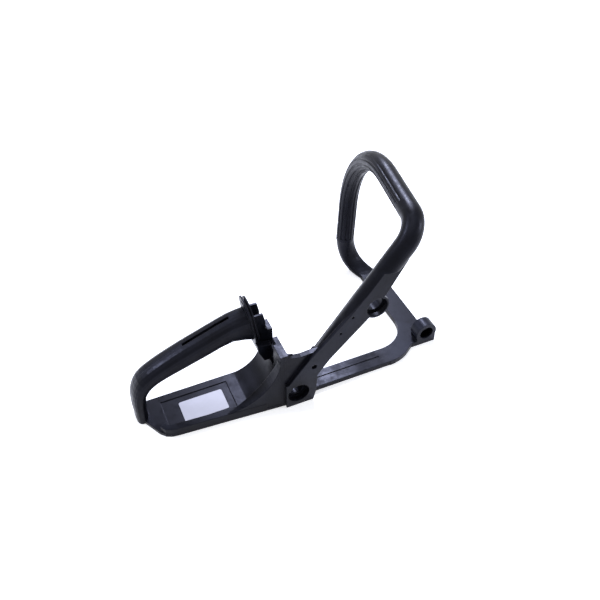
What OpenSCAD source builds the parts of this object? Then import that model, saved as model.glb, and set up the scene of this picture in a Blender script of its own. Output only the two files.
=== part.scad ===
// Chainsaw handle frame: front handlebar loop, sloping right arm, bottom rail, guard plate and rear grip.
// X runs forward, Y to the left and Z up. The origin is on the flat underside, right below the axis of
// the lower rubber-mount socket, in the middle plane of the right arm and the loop's tube.

/* [Front loop] */
// Diameter of the handlebar tube
tube_d = 26; // [23:0.5:28]
// Slope of the right arm above the ground in degrees
arm_slope = 53.5; // [52:0.5:55]
// Height of the tube's axis at the upper right corner
loop_h = 224; // [216:1:232]
// Distance in Y between the right and left corners
loop_w = 222; // [212:1:232]
// How far the upper left corner stands ahead of the right one
loop_rake = 34; // [26:1:42]
// How much higher the upper left corner is
loop_rise = 3; // [0:0.5:8]
// Inner bend at the upper right corner, measured to the tube's axis
bend_right = 30; // [26:1:36]
// Wide bend at the upper left corner, measured to the tube's axis
bend_left = 109; // [90:1:120]
// Length of the left upright from its corner point to the foot's start
upright_len = 179; // [172:1:186]
// How far the upright leans inward from its corner to its lower end
upright_lean = 15.4; // [8:0.2:22]
// How far the upright runs back from its corner to its lower end
upright_back = 15.8; // [10:0.2:20]
// Width of one grip flute
flute_w = 3.4; // [2.4:0.1:4]
// Angle between two grip flutes
flute_step = 30; // [27:1:34]
// Number of grip flutes
flute_count = 7; // [3:1:8]

/* [Right arm and sockets] */
// Thickness of the arm between its two flat faces
arm_t = 19.2; // [16:0.2:22]
// Diameter of the rounded ridge at the arm's root
arm_root_d = 23; // [20:0.5:25]
// Height at which the flat faces end and the round tube begins
shoulder_h = 188; // [182:1:193]
// Reach of the arm's front edge from its middle line, at the root
arm_edge_root = 4; // [2:0.5:7]
// Reach of the arm's front edge from its middle line, beside the ring
arm_edge_ring = 17; // [15:0.5:19]
// Height of the lower socket's axis
socket_z = 20.7; // [19:0.1:23]
// Seat radius of the lower socket
socket_r = 14.1; // [12.5:0.1:15]
// Depth of both sockets' seats
socket_depth = 8.5; // [6:0.5:10]
// Bore radius behind the lower socket's seat
socket_bore_r = 9.5; // [7:0.1:11]
// Distance of the upper ring from the lower socket, along the arm
ring_along = 146; // [140:1:152]
// Distance of the upper ring's axis in front of the arm's middle line
ring_out = 17.2; // [15:0.2:19]
// Seat radius of the upper ring
ring_r = 13.6; // [12.5:0.1:14.2]
// Bore radius behind the upper ring's seat
ring_bore_r = 10.7; // [8:0.1:11.6]
// Wall of the upper ring round its seat
ring_wall = 2.4; // [1.8:0.1:3.5]
// Radius of the cable hole above the lower socket
cable_hole_r = 3.6; // [2.5:0.1:4.5]
// Radius of the two small screw holes in the arm
screw_hole_r = 1.8; // [1.2:0.1:2.4]

/* [Block, bulkhead and panel] */
// Depth of the socket block in Y
block_d = 25.6; // [24:0.2:30]
// Height of the bulkhead above the underside
bulkhead_h = 89; // [84:1:92]
// Thickness of the bulkhead
bulkhead_t = 10; // [8:0.5:12]
// Thickness of the side panel between bulkhead and arm
panel_t = 7; // [5:0.5:9]

/* [Rail, crossing arm and front lug] */
// Width of the bottom rail
rail_w = 24.8; // [22:0.2:28]
// Thickness of the rail and the crossing arm
rail_t = 7.3; // [6:0.1:9]
// Length in X from the socket's axis to the crossing arm's rear face
rail_len = 177; // [170:1:184]
// Width of the crossing arm
cross_w = 28.4; // [25:0.2:32]
// Inner corner radius between the rail and the crossing arm
corner_r = 42; // [34:1:48]
// Height of the front lug's axis
lug_z = 19; // [17.5:0.1:20]
// Outer radius of the front lug
lug_r = 14.8; // [13.5:0.1:16]
// Mouth radius of the front lug's bore
lug_bore_r = 9.7; // [8:0.1:10.5]
// Radius of the cup behind the front lug's mouth
lug_cup_r = 12.4; // [11:0.1:12.8]
// Thickness of the lip at the front lug's mouth and of its back wall
lug_lip = 3; // [2:0.2:4]
// Length of the front lug in Y
lug_len = 16; // [13:0.5:20]

/* [Guard plate and saddle] */
// Length of the guard plate behind the bulkhead
guard_len = 171; // [164:1:178]
// Far edge of the guard plate
guard_w = 68; // [64:1:74]
// Thickness of the guard plate's floor
guard_t = 5; // [4:0.1:6]
// Height of the raised rim on the near side
rim_h = 13; // [10:0.5:16]
// Radius of the concave saddle in front of the plate
saddle_r = 43; // [38:1:46]

/* [Rear grip] */
// Width of the rear grip
grip_w = 29.5; // [26:0.5:32]
// Place of the grip's middle plane in Y
grip_y = 53; // [51:0.5:54]
// Wall of the two grip shells
grip_wall = 3; // [2.4:0.1:4]
// Gap between the two shells at their seam
seam_gap = 0.2; // [0.1:0.05:0.4]
// Width of the slot for the lockout lever
slot_w = 4; // [3:0.5:6]
// Length of the slot for the lockout lever
slot_len = 59; // [48:1:66]
// Height of the oval flange at the grip's front end
flange_h = 70; // [64:1:74]
// Width of the oval flange
flange_w = 37; // [34:0.5:42]
// Width of the trigger's opening under the grip
trigger_w = 8.6; // [7.6:0.2:9.4]
// Length of the trigger's opening
trigger_len = 43; // [38:1:45]
// Diameter of the cover's screw heads
screw_head_d = 7; // [5.5:0.5:8]

/* [Hidden] */
$fn = 48;
black = [0.13, 0.13, 0.15];
tube_r = tube_d / 2;
half_t = arm_t / 2;
// Near face of the panel and rear face of the bulkhead
plate_y = -5;
bulkhead_x = -21;
// Middle of the oval flange's rear face, and how far its top leans back
flange_x = -40;
flange_z = 107;
flange_tilt = 7.8;
// How fast the guard plate's near edge runs in, in mm for each mm of length
edge_slant = 0.075;
// The notch in the bulkhead's top edge, from its near to its far side
notch_y = [30, 44];
// Neighbouring stretches of tube differ by this much in radius, and overlap by the lap
step = 0.05;
lap = 1;
// The saddle's edges lie this far inside the plate's faces
sunk = 0.25;
// Middle of the fluted side, measured from the outside of the loop
flute_mid = 135;

// Corner points of the loop's axis
arm_dir = [cos(arm_slope), 0, sin(arm_slope)];
socket_pt = [0, 0, socket_z];
// Holes of the arm in the side view: the two sockets, the cable hole, and the screw holes along the arm
socket_at = [0, socket_z];
ring_at = arm_pt(ring_along, ring_out);
cable_hole_at = [20.5, 59.8];
screw_hole_s = [98.2, 123.8];
// Axis and near face of the front lug, and the rail's front end under it
lug_x = 197;
lug_y = 16.3;
lug_front = lug_x + 14.4;
// Far end of the crossing arm
cross_end_y = 172;
// Corner, size and depth of the shallow recess in the guard plate
recess_at = [-158.5, 14];
recess_size = [86, 44];
recess_depth = 1;
// The saddle's near wall slopes inward and down. It leans back, and its slope runs from the near value,
// measured along the lean, to the far one.
wall_y = [-10, 40];
wall_lean = 45;
wall_near = -98;
wall_far = 8;
// The neck's clear width and its walls
neck_w = 17;
neck_wall = 3;
// Front ends of the lockout lever's slot and the trigger's opening, and the heights where the cuts begin
slot_front = -61.6;
slot_from = 88;
trigger_front = -57;
trigger_from = 60;
// Places of the cover's screws in the side view
screw_places = [[-64, 103], [-146, 75]];
// Bottom of the screw pockets, and the clearances under and round a head
pocket_y = grip_y + grip_w / 2 - 3.6;
head_lift = 0.2;
head_gap = 0.3;
// Height of a screw head, and the width of its socket as a share of the head
head_h = 2.5;
head_socket = 0.45;
// Longer than the whole object, for cuts that run right through
through = 300;

// Rear grip: top and bottom points of each section in the middle plane, from the flange to the foot
grip_top = [
    [flange_at(124.4), 124.4], [-61, 120.5], [-92, 109.5], [-123, 98], [-148.5, 87], [-168, 76.7],
    [-180, 67], [-187.5, 53.4], [-191, 40], [-192, 22], [-191.5, 0]
];
grip_low = [
    [flange_at(77.6), 77.6], [-62, 86.3], [-93, 77.5], [-122, 68.5], [-145, 61.6], [-157, 57],
    [-165.5, 51.5], [-171, 45.5], [-174, 38], [-176, 20], [-176, 0]
];

corner_right = socket_pt + arm_dir * (loop_h - socket_z) / sin(arm_slope);
corner_left = corner_right + [loop_rake, loop_w, loop_rise];
upright_drop = sqrt(upright_len ^ 2 - upright_lean ^ 2 - upright_back ^ 2);
upright_end = corner_left - [upright_back, upright_lean, upright_drop];

// A point of the arm, s along its middle line from the lower socket and w in front of that line
function arm_pt(s, w) = [s * arm_dir.x + w * arm_dir.z, socket_z + s * arm_dir.z - w * arm_dir.x];

function unit(v) = v / norm(v);
function turn(a, b) = acos(unit(a) * unit(b));
// Angles that rotate() needs to lay the axes x, y and z along e1, e2 and e3
function aim(e1, e2, e3) = [atan2(e2.z, e3.z), -asin(e1.z), atan2(e1.y, e1.x)];
// Point i of n along a quadratic curve
function curve3(a, b, c, n) = [for (i = [0:n]) let (t = i / n)
    a * (1 - t) ^ 2 + b * 2 * t * (1 - t) + c * t ^ 2];
function arc(c, r, a0, a1, n) = [for (i = [0:n]) let (a = a0 + (a1 - a0) * i / n)
    [c.x + r * cos(a), c.y + r * sin(a)]];

// Reach of a rounded square at angle q: exponent 2 is a circle, and more is squarer
function squarish(q, e) = 1 / pow(pow(abs(cos(q)), e) + pow(abs(sin(q)), e), 1 / e);

// Axis of a bend from point p through corner q to point e, and where it starts and ends
function bend_n(p, q, e) = unit(cross(q - p, e - q));
function bend_cut(p, q, e, r) = r * tan(turn(q - p, e - q) / 2);
function bend_in(p, q, e, r) = q - unit(q - p) * bend_cut(p, q, e, r);
function bend_out(p, q, e, r) = q + unit(e - q) * bend_cut(p, q, e, r);

// Extrudes a side view between two values of Y
module side_slab(y0, y1) {
    translate([0, y1, 0]) rotate([90, 0, 0]) linear_extrude(y1 - y0) children();
}

// Extrudes a front view between two values of X
module front_slab(x0, x1) {
    translate([x0, 0, 0]) rotate([90, 0, 90]) linear_extrude(x1 - x0) children();
}

// A straight run of tube from a to b. Its section's x axis points to the outside of the loop.
module run(a, b, n) {
    d = unit(b - a);
    translate(b) rotate(aim(cross(d, n), n, -d)) linear_extrude(norm(b - a)) children();
}

// The round corner of a tube from p through q to e. The runs reach a little way into its ends.
module bend(p, q, e, r) {
    d = unit(q - p);
    n = bend_n(p, q, e);
    inward = cross(n, d);
    translate(bend_in(p, q, e, r) + inward * r) rotate(aim(-inward, d, n))
        rotate_extrude(angle = turn(q - p, e - q), $fn = 96) translate([r, 0]) children();
}

module tube_section(grow) {
    circle(r = tube_r + grow);
}

// The section with flutes on the side that faces back and into the loop
module flute_section(grow) {
    difference() {
        circle(r = tube_r + grow);
        for (i = [0:flute_count - 1])
            rotate(flute_mid + (i - (flute_count - 1) / 2) * flute_step)
                translate([tube_r + flute_w * 0.12, 0]) circle(d = flute_w - 2 * grow, $fn = 16);
    }
}

module front_loop() {
    n1 = bend_n(socket_pt, corner_right, corner_left);
    n2 = bend_n(corner_right, corner_left, upright_end);
    top_dir = unit(corner_left - corner_right);
    down_dir = unit(upright_end - corner_left);
    shoulder = arm_dir * ((shoulder_h - socket_z) / arm_dir.z - lap) + socket_pt;
    top_start = bend_out(socket_pt, corner_right, corner_left, bend_right);
    flute_from = top_start + top_dir * tube_r;
    flute_to = upright_end - down_dir * 4;
    top_end = bend_in(corner_right, corner_left, upright_end, bend_left);
    upright_start = bend_out(corner_right, corner_left, upright_end, bend_left);
    run(shoulder, bend_in(socket_pt, corner_right, corner_left, bend_right) + arm_dir * lap, n1)
        tube_section(step);
    bend(socket_pt, corner_right, corner_left, bend_right) tube_section(2 * step);
    run(top_start - top_dir * lap, flute_from, n2) tube_section(step);
    run(flute_from - top_dir * lap, top_end + top_dir * lap, n2) flute_section(0);
    bend(corner_right, corner_left, upright_end, bend_left) flute_section(step);
    run(upright_start - down_dir * lap, flute_to, n2) flute_section(0);
    run(flute_to - down_dir * lap, upright_end, n2) tube_section(step);
}

// The rounded ridge of the arm, a slim cone that the flat faces cut
module arm_ridge() {
    shoulder_s = (shoulder_h - socket_z) / arm_dir.z;
    difference() {
        translate(socket_pt) rotate([0, 90 - arm_slope, 0])
            cylinder(h = shoulder_s, d1 = arm_root_d, d2 = tube_d);
        for (side = [-1, 1])
            translate([-through / 2, side * (half_t + tube_d) - tube_d, shoulder_h - through])
                cube([2 * through, 2 * tube_d, through - 10]);
        translate([-through / 2, -through / 2, -through]) cube(through);
    }
}

module arm_outline() {
    ring_s = ring_along + ring_r + ring_wall;
    low = arm_pt(ring_along - ring_r - ring_wall, arm_edge_ring);
    polygon([
        [-16.2, 0], [19.9, 0], [23.3, 15], arm_pt(37.4, arm_edge_root), low,
        arm_pt(ring_s + 5, arm_edge_ring - 1.4), arm_pt(216, 9.4), arm_pt(205, 0), arm_pt(152, -9),
        arm_pt(124, -10.6), arm_pt(88, -15), arm_pt(54, -20.2), arm_pt(32, -21.2), [-15.1, 37]
    ]);
}

// The arm's full thickness lies in front of the ridge, behind the thin near plate
module arm_core() {
    ring_s = ring_along + ring_r + ring_wall;
    polygon([
        [-12, 0], [19.9, 0], [23.3, 15], arm_pt(37.4, arm_edge_root),
        arm_pt(ring_along - ring_r - ring_wall, arm_edge_ring), arm_pt(ring_s + 5, arm_edge_ring - 1.4),
        arm_pt(216, 9.4), arm_pt(207, 0), arm_pt(200, -8.5), arm_pt(60, -8.5), arm_pt(60, -11),
        arm_pt(24, -11), [-12, 22]
    ]);
}

module right_arm() {
    side_slab(-half_t, plate_y) arm_outline();
    side_slab(-half_t, half_t) arm_core();
    side_slab(-half_t, half_t) translate(ring_at) circle(r = ring_r + ring_wall, $fn = 72);
    arm_ridge();
    side_slab(-half_t, block_d - half_t)
        polygon([[-16.2, 0], [19.9, 0], [23.3, 15], [25, 40], [-16, 40]]);
}

// A round hole through the arm and what lies behind it
module arm_hole(at, r, sides) {
    side_slab(-half_t - lap, block_d) translate(at) circle(r = r, $fn = sides);
}

// Both rubber mounts' seats and bores, the cable hole and the two screw holes
module arm_holes() {
    for (seat = [[socket_at, socket_r], [ring_at, ring_r]])
        side_slab(-half_t - lap, -half_t + socket_depth) translate(seat[0]) circle(r = seat[1], $fn = 72);
    arm_hole(socket_at, socket_bore_r, 72);
    arm_hole(ring_at, ring_bore_r, 72);
    arm_hole(cable_hole_at, cable_hole_r, 32);
    for (s = screw_hole_s)
        arm_hole(arm_pt(s, -5.4), screw_hole_r, 32);
}

module side_panel() {
    side_slab(plate_y, panel_t + plate_y) polygon([
        [bulkhead_x, 0], [10, 0], [20, 50], [34, 80.4], [18, 80.4], [6.4, 79.5], [-6.4, 81.8],
        [-12.5, 85], [-20.2, bulkhead_h], [bulkhead_x, bulkhead_h]
    ]);
}

module bulkhead() {
    front_slab(bulkhead_x + 4, bulkhead_x + bulkhead_t) polygon([
        [plate_y, 0], [guard_w, 0], [guard_w, 44], [notch_y[1] + 18, 62], [notch_y[1] + 18, bulkhead_h],
        [notch_y[1], bulkhead_h], [notch_y[1], 68], [notch_y[0], 68], [notch_y[0], bulkhead_h],
        [plate_y, bulkhead_h]
    ]);
    front_slab(bulkhead_x, bulkhead_x + bulkhead_t)
        polygon([[plate_y, 0], [18, 0], [18, bulkhead_h], [plate_y, bulkhead_h]]);
    // Fillet between the bulkhead and the panel
    linear_extrude(bulkhead_h - 6) polygon(concat(
        [[bulkhead_x + bulkhead_t - 1, panel_t - 6]],
        [[bulkhead_x + bulkhead_t + 8, panel_t - 6]],
        arc([bulkhead_x + bulkhead_t + 8, panel_t + 3], 8, 270, 180, 6),
        [[bulkhead_x + bulkhead_t - 1, panel_t + 3]]));
}

module rail() {
    near = 0.7;
    far = near + rail_w;
    cross_front = rail_len + cross_w;
    difference() {
        linear_extrude(rail_t) polygon(concat(
            [[10, near], [135, near]],
            curve3([135, near - 0.7], [155, 1], [168, 11], 5),
            [[176, lug_y + 0.1], [lug_x + 9, lug_y], [lug_front, lug_y], [lug_front, lug_y + lug_len],
                [cross_front, lug_y + lug_len + 6]],
            [[cross_front, cross_end_y], [rail_len, cross_end_y]],
            arc([rail_len - corner_r, far + corner_r], corner_r, 0, -90, 12),
            [[10, far]]));
        translate([36, 13.8, rail_t - 0.8]) cube([89, 1, 2]);
    }
}
module front_lug() {
    difference() {
        union() {
            side_slab(lug_y, lug_y + lug_len) translate([lug_x, lug_z]) circle(r = lug_r, $fn = 72);
            side_slab(lug_y, lug_y + lug_len)
                polygon([
                    [lug_x - 14, 0], [lug_front, 0], [lug_front - 0.4, 14], [lug_x, lug_z], [lug_x - 13, 12]
                ]);
        }
        side_slab(lug_y - 1, lug_y + lug_lip + 1) translate([lug_x, lug_z]) circle(r = lug_bore_r, $fn = 72);
        side_slab(lug_y + lug_lip, lug_y + lug_len - lug_lip)
            translate([lug_x, lug_z]) circle(r = lug_cup_r, $fn = 72);
        translate([lug_x - 9, lug_y + lug_lip, -1]) cube([18, lug_len - 2 * lug_lip, lug_z + 1]);
    }
}

// The foot that turns the upright's round tube into the flat crossing arm
function foot_ring(c, t, wide, a, b, e) = let (u = unit(wide), v = unit(cross(t, u)))
    [for (i = [0:23]) let (q = i * 15, k = squarish(q, e)) c + u * a * k * cos(q) + v * b * k * sin(q)];

function mix(a, b, t) = a * (1 - t) + b * t;

module skin(rings) {
    m = len(rings[0]);
    n = len(rings);
    points = [for (r = rings) for (p = r) p];
    polyhedron(points, concat(
        [[for (j = [0:m - 1]) j]],
        [[for (j = [m - 1:-1:0]) (n - 1) * m + j]],
        [for (i = [0:n - 2]) for (j = [0:m - 1]) let (k = (j + 1) % m)
            each [[i * m + j, (i + 1) * m + k, i * m + k], [i * m + j, (i + 1) * m + j, (i + 1) * m + k]]]));
}

module left_foot() {
    top = upright_end + unit(corner_left - upright_end) * 4;
    base = [rail_len + cross_w / 2, cross_end_y - 8, rail_t / 2];
    knee = [upright_end.x + 2, upright_end.y - 1, rail_t / 2 + 2];
    n = 10;
    path = curve3(top, knee, base, n);
    ways = concat([upright_end - corner_left], [for (i = [1:n - 1]) path[i + 1] - path[i - 1]], [[0, -1, 0]]);
    skin([for (i = [0:n]) let (t = i / n)
        foot_ring(path[i], unit(ways[i]), mix([1, 0.15, 0], [1, 0, 0], t),
            mix(tube_r, cross_w / 2, t) - 0.1, mix(tube_r, rail_t / 2, t ^ 0.8) - 0.1, mix(2, 4, t))]);
}

module guard_outline() {
    polygon([
        [-12, near_edge(-12)], [-150, near_edge(-150)], [-158, 5.8], [-165, 9], [-guard_len, 15.4],
        [-183, 38], [-190, 46], [-191, 60], [-184, guard_w], [-12, guard_w]
    ]);
}

module guard_plate() {
    difference() {
        union() {
            linear_extrude(guard_t) guard_outline();
            // Raised rim along the near side
            linear_extrude(rim_h) polygon([
                [-40, near_edge(-40)], [-150, near_edge(-150)], [-158, 6], [-165, 9.4], [-169, 16],
                [-164, 19], [-160, 16], [-154, 14], [-148, near_edge(-148) + 8.5], [-40, near_edge(-40) + 8.5]
            ]);
        }
        translate([recess_at.x, recess_at.y, guard_t - recess_depth])
            cube([recess_size.x, recess_size.y, guard_t]);
    }
}

// The plate's near edge runs in towards the rear
function near_edge(x) = plate_y + (bulkhead_x - x) * edge_slant;

// Concave rise from a foot height to the bulkhead, a quarter circle in the side view
module rise(r, foot) {
    front = bulkhead_x + 6;
    rear = bulkhead_x + 1 - r;
    polygon(concat([[front, 1], [front, foot + r]], arc([rear, foot + r], r, 360, 270, 24), [[rear, 1]]));
}

// The saddle in front of the plate, with a higher wall on its near side that slopes down inward
module saddle() {
    wall_r = bulkhead_h - 1 - rim_h;
    side_slab(-2, guard_w - sunk) rise(saddle_r, guard_t - sunk);
    intersection() {
        side_slab(wall_y[0], wall_y[1]) rise(wall_r, rim_h - sunk);
        linear_extrude(bulkhead_h) polygon([
            [-through, near_edge(-through) + sunk], [0, near_edge(0) + sunk],
            [0, saddle_r], [-through, saddle_r]
        ]);
        rotate([0, wall_lean, 0]) translate([0, 0, -through]) linear_extrude(2 * through)
            polygon([
                [wall_near, wall_y[0]], [wall_far, wall_y[1]], [through, wall_y[1]], [through, wall_y[0]]
            ]);
    }
}

// Place in X of the flange's rear face at a height
function flange_at(z) = flange_x - (z - flange_z) * tan(flange_tilt);

// Half of an egg-shaped section on one side of the seam, shrunk by a wall
function half_ring(top, low, side, gap, wall) = let (c = (top + low) / 2, u = unit(top - low),
    a = norm(top - low) / 2 - wall, b = grip_w / 2 - wall - gap)
    [for (i = [0:12]) let (q = -90 + i * 15, k = squarish(q, 2.8), up = a * k * sin(q))
        [c.x + u.x * up, grip_y + side * (gap + b * k * abs(cos(q))), c.y + u.y * up]];

// A hollow's ring goes on straight through the seam, so that the cut leaves no slivers
function through_seam(r, side) = concat([[r[0].x, grip_y - side, r[0].z]], r,
    [[r[len(r) - 1].x, grip_y - side, r[len(r) - 1].z]]);

// The place t of the way from point i to the next, on a smooth curve through all points
function smooth(p, i, t) = let (n = len(p) - 1, a = p[max(i - 1, 0)], b = p[i], c = p[min(i + 1, n)],
    d = p[min(i + 2, n)])
    0.5 * (2 * b + (c - a) * t + (2 * a - 5 * b + 4 * c - d) * t ^ 2 + (3 * b - a - 3 * c + d) * t ^ 3);

// The ring at stop s, where whole stops are the grip's own sections. The first one is pushed by reach.
function grip_ring(s, side, gap, wall, last, reach) = let (i = min(floor(s), last - 1),
    push = [s == 0 ? reach : 0, 0])
    half_ring(smooth(grip_top, i, s - i) + push, smooth(grip_low, i, s - i) + push, side, gap, wall);

function reversed(r) = [for (j = [len(r) - 1:-1:0]) r[j]];

// One half of the grip, or of its hollow where there is a wall, from stop start to stop last
module grip_half(side, gap, wall, start, last, reach) {
    stops = concat([start], [for (k = [1:2 * last]) k / 2]);
    rings = [for (s = stops) grip_ring(s, side, gap, wall, last, reach)];
    loops = wall > 0 ? [for (r = rings) through_seam(r, side)] : rings;
    skin(side < 0 ? loops : [for (r = loops) reversed(r)]);
}

// A slot along the grip's middle plane, cut upward from a height
module grip_slot(front, length, width, from, height) {
    translate([front - length, grip_y - width / 2, from]) cube([length, width, height]);
}

module grip_shell(side, last, reach) {
    difference() {
        grip_half(side, seam_gap / 2, 0, 0, last, reach);
        grip_half(side, 0.6, grip_wall, 0.2, 7, 0);
        grip_slot(slot_front, slot_len, slot_w, slot_from, 45);
        grip_slot(trigger_front, trigger_len, trigger_w, trigger_from, 40);
    }
}

module flange() {
    translate([flange_x, grip_y, flange_z]) rotate([0, 90 - flange_tilt, 0]) {
        linear_extrude(7) oval(flange_h - 12, flange_w - 9);
        for (k = [0, 1])
            translate([0, 0, 0.8 + 4 * k]) linear_extrude(2) oval(flange_h - 4 * k, flange_w - 3 * k);
    }
}

// An oval of two arcs and two straight sides, long in x
module oval(h, w) {
    for (side = [-1, 1])
        translate([side * (h - w) / 2, 0]) circle(d = w, $fn = 64);
    square([h - w, w], center = true);
}

// Two walls and a floor carry the grip's front end on the bulkhead
module neck() {
    for (y = [notch_y[1], notch_y[1] + neck_wall + neck_w])
        side_slab(y, y + neck_wall) polygon([
            [flange_at(62) + 1, 62], [-26, 46], [bulkhead_x + 6, 46], [bulkhead_x + 6, 86], [-20, 94],
            [-19.5, 104], [-22, 117], [flange_at(117) + 1, 117]
        ]);
    side_slab(notch_y[1] - 8, notch_y[1] + neck_w + 2 * neck_wall) polygon([
        [flange_at(74) + 1, 74], [flange_at(62) + 1, 62], [-26, 46], [-16, 46], [-16, 70]
    ]);
}

module handle_frame() {
    color(black) {
        front_loop();
        difference() {
            union() {
                right_arm();
                side_panel();
                bulkhead();
            }
            arm_holes();
        }
        rail();
        front_lug();
        left_foot();
        guard_plate();
        saddle();
        grip_shell(-1, 10, 1);
        flange();
        neck();
    }
}

module grip_cover() {
    color(black) difference() {
        union() {
            difference() {
                grip_shell(1, 10, -0.3);
                // The cover ends just above the guard plate
                translate([-through, 0, guard_t + seam_gap - through]) cube(through);
            }
            for (p = screw_places)
                side_slab(grip_y + 1, pocket_y + 1.6) translate(p) circle(d = screw_head_d + 4, $fn = 32);
        }
        for (p = screw_places)
            side_slab(pocket_y, pocket_y + 10) translate(p)
                circle(d = screw_head_d + 2 * head_gap, $fn = 32);
    }
}

module cover_screws() {
    color("dimgray") for (p = screw_places)
        side_slab(pocket_y + head_lift, pocket_y + head_lift + head_h) translate(p) difference() {
            circle(d = screw_head_d, $fn = 32);
            circle(d = screw_head_d * head_socket, $fn = 6);
        }
}

handle_frame();
grip_cover();
cover_screws();
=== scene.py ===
"""Looks of the chainsaw handle frame: materials, blank label, studio and camera.

Everything is in metres, in the frame's own axes: X runs forward, Y to the left and Z up.
"""
import math

import bmesh
import bpy
from mathutils import Matrix, Vector


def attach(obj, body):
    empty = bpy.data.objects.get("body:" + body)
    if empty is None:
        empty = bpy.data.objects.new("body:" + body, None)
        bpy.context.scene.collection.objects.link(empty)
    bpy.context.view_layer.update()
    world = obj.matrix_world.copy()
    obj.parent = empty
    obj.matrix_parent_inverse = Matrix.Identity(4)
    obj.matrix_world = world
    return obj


MM = 0.001
BODY = "root"

# Nylon: two shades that run into each other, a paler one for rubbed edges, and the tint of its highlights
NYLON_DARK = (0.0020, 0.0021, 0.0031)
NYLON_LIGHT = (0.0042, 0.0045, 0.0072)
NYLON_WORN = (0.018, 0.020, 0.030)
NYLON_SHEEN = (0.77, 0.79, 1.0)
NYLON_IOR = 1.3
NYLON_SPECULAR = 0.3

# Roughness of the nylon, and how far its patches go below and above it
FRAME_ROUGHNESS = 0.35
COVER_ROUGHNESS = 0.33
SMOOTHER = 0.07
ROUGHER = 0.09

# Edges of the nylon: their rounding, where the wear starts and is full, and how much of it shows
EDGE_ROUNDING = 1.1 * MM
WEAR_EDGES = (0.53, 0.62)
WEAR_SHARE = 0.55

# Heights of the fine relief
GRAIN_HEIGHT = 0.05 * MM
SPECK_HEIGHT = 0.02 * MM
SCRATCH_HEIGHT = 0.02 * MM
RIPPLE_HEIGHT = 0.15 * MM

# Noise scales, per metre
CLOUD_SCALE = 38
RIPPLE_SCALE = 90
PATCH_SCALE = 95
SCRATCH_SCALE = 900
GRAIN_SCALE = 1500
SPECK_SCALE = 5200

# The cover's screws
SCREW_STEEL = (0.22, 0.22, 0.23)
SCREW_ROUGHNESS = (0.28, 0.45)

# The blank label in the guard plate's recess
LABEL_WHITE = (0.41, 0.41, 0.47)
LABEL_SHADE = 0.95
LABEL_ROUGHNESS = 0.42
LABEL_X = (-138 * MM, -82 * MM)
LABEL_Y = (16.8 * MM, 49 * MM)
LABEL_Z = 4 * MM
LABEL_GAP = 0.01 * MM
LABEL_THICK = 0.35 * MM
LABEL_CORNER = 2.5 * MM
LABEL_RIM = 0.1 * MM

# The floor lies just under the part
FLOOR_WHITE = (0.93, 0.93, 0.94)
FLOOR_GLOW = 0.5
FLOOR_ROUGHNESS = 0.9
FLOOR_SPECULAR = 0.1
FLOOR_HALF = 6
FLOOR_DROP = 0.2 * MM

# The surroundings: their light on things, and their brightness where they are seen
SKY_COLOUR = (0.97, 0.98, 1)
SKY_LIGHT = 0.3
SKY_SEEN = 1

# Soft lamps, all turned to one point: place, size, watts and colour
LAMP_TARGET = (0.0, 0.08, 0.06)
LAMPS = (
    ((0.45, 1.0, 1.15), 0.34, 30, (0.78, 0.82, 1)),
    ((-0.9, 0.55, 1.0), 0.3, 8, (0.78, 0.82, 1)),
    ((1.05, -0.4, 0.5), 0.4, 6, (0.85, 0.88, 1)),
    ((-0.2, -0.2, 1.6), 1.0, 5, (0.97, 0.98, 1)),
)

# The camera's place and axes give the photograph's viewing angle. Sensor and lens are in millimetres.
CAMERA_AT = (-0.2225, -0.5256, 0.7149)
CAMERA_RIGHT = (0.9154, -0.4025, -0.0038)
CAMERA_UP = (0.2804, 0.6308, 0.7236)
CAMERA_BACK = (-0.2889, -0.6634, 0.6903)
SENSOR = 36
LENS = 43.27
CLIP_START = 0.01


def make_material(name):
    """A new material, its nodes, its links and its Principled shader."""
    mat = bpy.data.materials.new(name)
    mat.use_nodes = True
    nodes = mat.node_tree.nodes
    return mat, nodes, mat.node_tree.links, nodes["Principled BSDF"]


def noise(nodes, links, coords, scale, detail, rough=0.55):
    """A noise value round 0.5, with its scale per metre."""
    node = nodes.new("ShaderNodeTexNoise")
    node.inputs["Scale"].default_value = scale
    node.inputs["Detail"].default_value = detail
    node.inputs["Roughness"].default_value = rough
    links.new(coords, node.inputs["Vector"])
    return node.outputs["Fac"]


def map_range(nodes, links, value, source, target):
    """Maps a value from one range of two numbers to another."""
    node = nodes.new("ShaderNodeMapRange")
    for key, number in zip(("From Min", "From Max", "To Min", "To Max"), (*source, *target)):
        node.inputs[key].default_value = number
    links.new(value, node.inputs["Value"])
    return node.outputs["Result"]


def mix_colours(nodes, links, fac, first, second):
    """Mixes two colours, each of them a tuple or a socket."""
    node = nodes.new("ShaderNodeMix")
    node.data_type = "RGBA"
    links.new(fac, node.inputs[0])
    for socket, colour in ((node.inputs[6], first), (node.inputs[7], second)):
        if isinstance(colour, tuple):
            socket.default_value = (*colour, 1)
        else:
            links.new(colour, socket)
    return node.outputs[2]


def bump(nodes, links, height, distance, strength, before=None):
    """Relief from a height value, on top of the normal that comes before it."""
    node = nodes.new("ShaderNodeBump")
    node.inputs["Strength"].default_value = strength
    node.inputs["Distance"].default_value = distance
    links.new(height, node.inputs["Height"])
    if before is not None:
        links.new(before, node.inputs["Normal"])
    return node.outputs["Normal"]


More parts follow.
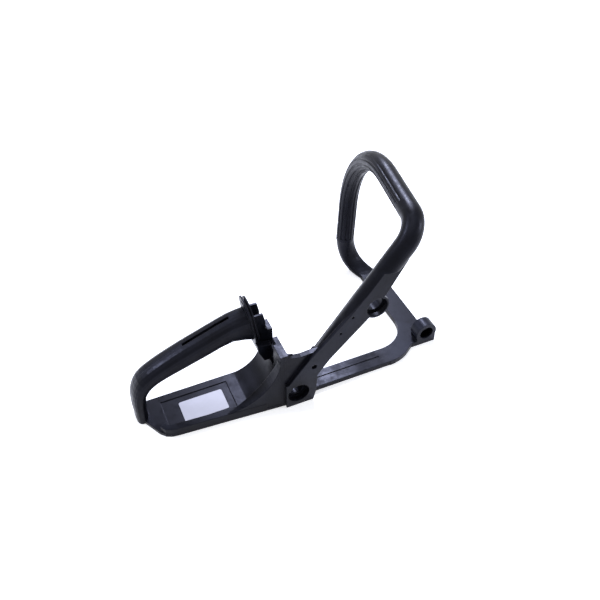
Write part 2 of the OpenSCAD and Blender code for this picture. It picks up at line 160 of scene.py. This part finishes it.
def nylon(name, roughness):
    """Moulded nylon: a fine grain, soft clouds of two shades, duller patches and rubbed edges."""
    mat, nodes, links, shader = make_material(name)
    coords = nodes.new("ShaderNodeTexCoord").outputs["Object"]
    clouds = noise(nodes, links, coords, CLOUD_SCALE, detail=4)
    grain = noise(nodes, links, coords, GRAIN_SCALE, detail=2)
    specks = noise(nodes, links, coords, SPECK_SCALE, detail=1)
    cloud_mix = map_range(nodes, links, clouds, (0.35, 0.65), (0, 1))
    flow = mix_colours(nodes, links, cloud_mix, NYLON_DARK, NYLON_LIGHT)
    edges = nodes.new("ShaderNodeNewGeometry").outputs["Pointiness"]
    worn = map_range(nodes, links, edges, WEAR_EDGES, (0, WEAR_SHARE))
    colour = mix_colours(nodes, links, worn, flow, NYLON_WORN)
    links.new(colour, shader.inputs["Base Color"])
    patches = noise(nodes, links, coords, PATCH_SCALE, detail=5, rough=0.65)
    finish = map_range(nodes, links, patches, (0.38, 0.62), (roughness - SMOOTHER, roughness + ROUGHER))
    links.new(finish, shader.inputs["Roughness"])
    shader.inputs["IOR"].default_value = NYLON_IOR
    shader.inputs["Specular IOR Level"].default_value = NYLON_SPECULAR
    shader.inputs["Specular Tint"].default_value = (*NYLON_SHEEN, 1)
    rounded = nodes.new("ShaderNodeBevel")
    rounded.samples = 6
    rounded.inputs["Radius"].default_value = EDGE_ROUNDING
    soft = bump(nodes, links, grain, GRAIN_HEIGHT, strength=0.35, before=rounded.outputs["Normal"])
    relief = bump(nodes, links, specks, SPECK_HEIGHT, strength=0.3, before=soft)
    links.new(relief, shader.inputs["Normal"])
    return mat


def steel(name):
    """Zinc-plated steel with fine scratches."""
    mat, nodes, links, shader = make_material(name)
    coords = nodes.new("ShaderNodeTexCoord").outputs["Object"]
    scratches = noise(nodes, links, coords, SCRATCH_SCALE, detail=3)
    shader.inputs["Base Color"].default_value = (*SCREW_STEEL, 1)
    shader.inputs["Metallic"].default_value = 1
    finish = map_range(nodes, links, scratches, (0.3, 0.7), SCREW_ROUGHNESS)
    links.new(finish, shader.inputs["Roughness"])
    relief = bump(nodes, links, scratches, SCRATCH_HEIGHT, strength=0.4)
    links.new(relief, shader.inputs["Normal"])
    return mat


def film(name):
    """The label's matt plastic film, a little uneven where it was pressed on."""
    mat, nodes, links, shader = make_material(name)
    coords = nodes.new("ShaderNodeTexCoord").outputs["Object"]
    ripples = noise(nodes, links, coords, RIPPLE_SCALE, detail=3)
    shade = tuple(channel * LABEL_SHADE for channel in LABEL_WHITE)
    ripple_mix = map_range(nodes, links, ripples, (0.35, 0.65), (0, 1))
    colour = mix_colours(nodes, links, ripple_mix, shade, LABEL_WHITE)
    links.new(colour, shader.inputs["Base Color"])
    shader.inputs["Roughness"].default_value = LABEL_ROUGHNESS
    relief = bump(nodes, links, ripples, RIPPLE_HEIGHT, strength=0.2)
    links.new(relief, shader.inputs["Normal"])
    return mat


def dress(frame, node, mat):
    """Gives a CAD node its material."""
    for slot in frame["nodes"][node].material_slots:
        slot.material = mat


def add_piece(name, bm, mat):
    """Turns a bmesh into a piece of the object."""
    mesh = bpy.data.meshes.new(name)
    bm.to_mesh(mesh)
    bm.free()
    mesh.materials.append(mat)
    piece = bpy.data.objects.new(name, mesh)
    bpy.context.scene.collection.objects.link(piece)
    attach(piece, BODY)
    return piece


def rounded_outline(x_range, y_range, radius, steps=8):
    """Outline points of a rectangle with round corners, counterclockwise."""
    points = []
    corners = ((x_range[1], y_range[1], 0), (x_range[0], y_range[1], 90),
               (x_range[0], y_range[0], 180), (x_range[1], y_range[0], 270))
    for x, y, start in corners:
        cx = x - math.copysign(radius, x - sum(x_range) / 2)
        cy = y - math.copysign(radius, y - sum(y_range) / 2)
        for k in range(steps + 1):
            a = math.radians(start + 90 * k / steps)
            points.append((cx + radius * math.cos(a), cy + radius * math.sin(a)))
    return points


def blank_label():
    """The bare label: a thin plate with round corners and a softened upper rim."""
    bm = bmesh.new()
    outline = rounded_outline(LABEL_X, LABEL_Y, LABEL_CORNER)
    face = bm.faces.new([bm.verts.new((x, y, LABEL_Z + LABEL_GAP)) for x, y in outline])
    raised = bmesh.ops.extrude_face_region(bm, geom=[face])
    tops = [v for v in raised["geom"] if isinstance(v, bmesh.types.BMVert)]
    bmesh.ops.translate(bm, verts=tops, vec=(0, 0, LABEL_THICK))
    bmesh.ops.recalc_face_normals(bm, faces=bm.faces)
    rim = [e for e in bm.edges if all(v.co.z > LABEL_Z + LABEL_THICK / 2 for v in e.verts)]
    bmesh.ops.bevel(bm, geom=rim, offset=LABEL_RIM, segments=2, affect="EDGES")
    return add_piece("blank_label", bm, film("label_film"))


def seen_directly(nodes, links, path):
    """1 for what the camera, a reflection or a clear piece sees, 0 for light that falls on things."""
    total = None
    for ray in ("Is Camera Ray", "Is Glossy Ray", "Is Transmission Ray"):
        if total is None:
            total = path.outputs[ray]
            continue
        add = nodes.new("ShaderNodeMath")
        add.operation = "ADD"
        add.use_clamp = True
        links.new(total, add.inputs[0])
        links.new(path.outputs[ray], add.inputs[1])
        total = add.outputs[0]
    return total


def floor_material():
    """Pale floor: white to the camera and in reflections, with the object's shadow kept."""
    mat, nodes, links, shader = make_material("floor")
    shader.inputs["Base Color"].default_value = (*FLOOR_WHITE, 1)
    shader.inputs["Roughness"].default_value = FLOOR_ROUGHNESS
    shader.inputs["Specular IOR Level"].default_value = FLOOR_SPECULAR
    shader.inputs["Emission Color"].default_value = (1, 1, 1, 1)
    seen = seen_directly(nodes, links, nodes.new("ShaderNodeLightPath"))
    glow = nodes.new("ShaderNodeMath")
    glow.operation = "MULTIPLY"
    glow.inputs[1].default_value = FLOOR_GLOW
    links.new(seen, glow.inputs[0])
    links.new(glow.outputs[0], shader.inputs["Emission Strength"])
    return mat


def lay_floor():
    """One large square, lowered just under the part."""
    half = FLOOR_HALF
    corners = [(-half, -half, 0), (half, -half, 0), (half, half, 0), (-half, half, 0)]
    mesh = bpy.data.meshes.new("floor")
    mesh.from_pydata(corners, [], [(0, 1, 2, 3)])
    mesh.materials.append(floor_material())
    ground = bpy.data.objects.new("floor", mesh)
    ground.location.z = -FLOOR_DROP
    bpy.context.scene.collection.objects.link(ground)


def surround():
    """White surroundings that light things softly."""
    world = bpy.data.worlds.new("studio")
    world.use_nodes = True
    bpy.context.scene.world = world
    nodes, links = world.node_tree.nodes, world.node_tree.links
    sky = nodes["Background"]
    sky.inputs["Color"].default_value = (*SKY_COLOUR, 1)
    path = nodes.new("ShaderNodeLightPath")
    level = nodes.new("ShaderNodeMapRange")
    level.inputs["To Min"].default_value = SKY_LIGHT
    level.inputs["To Max"].default_value = SKY_SEEN
    links.new(seen_directly(nodes, links, path), level.inputs["Value"])
    links.new(level.outputs["Result"], sky.inputs["Strength"])


def lamp(place, size, watts, colour):
    """A square soft lamp that points at the lamps' target."""
    light = bpy.data.lights.new("softbox", "AREA")
    light.size = size
    light.energy = watts
    light.color = colour
    obj = bpy.data.objects.new("softbox", light)
    obj.location = place
    obj.rotation_euler = (Vector(LAMP_TARGET) - Vector(place)).to_track_quat("-Z", "Y").to_euler()
    bpy.context.scene.collection.objects.link(obj)


def studio():
    """Floor, white surroundings and soft lamps."""
    lay_floor()
    surround()
    for place, size, watts, colour in LAMPS:
        lamp(place, size, watts, colour)


def camera():
    """The camera at the photograph's viewing angle."""
    data = bpy.data.cameras.new("camera")
    data.lens = LENS
    data.sensor_width = SENSOR
    data.clip_start = CLIP_START
    obj = bpy.data.objects.new("camera", data)
    axes = Matrix((CAMERA_RIGHT, CAMERA_UP, CAMERA_BACK)).transposed()
    obj.matrix_world = Matrix.Translation(CAMERA_AT) @ axes.to_4x4()
    bpy.context.scene.collection.objects.link(obj)
    bpy.context.scene.camera = obj


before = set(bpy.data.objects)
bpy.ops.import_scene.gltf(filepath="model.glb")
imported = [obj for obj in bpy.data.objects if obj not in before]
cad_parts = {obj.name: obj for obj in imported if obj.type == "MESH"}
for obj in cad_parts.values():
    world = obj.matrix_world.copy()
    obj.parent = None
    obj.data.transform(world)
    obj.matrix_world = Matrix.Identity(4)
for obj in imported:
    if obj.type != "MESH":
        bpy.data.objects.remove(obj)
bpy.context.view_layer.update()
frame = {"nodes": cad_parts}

dress(frame, "handle_frame", nylon("nylon_black", FRAME_ROUGHNESS))
dress(frame, "grip_cover", nylon("nylon_cover", COVER_ROUGHNESS))
dress(frame, "cover_screws", steel("screw_steel"))
blank_label()
studio()
camera()
bpy.context.scene.view_settings.view_transform = "Standard"
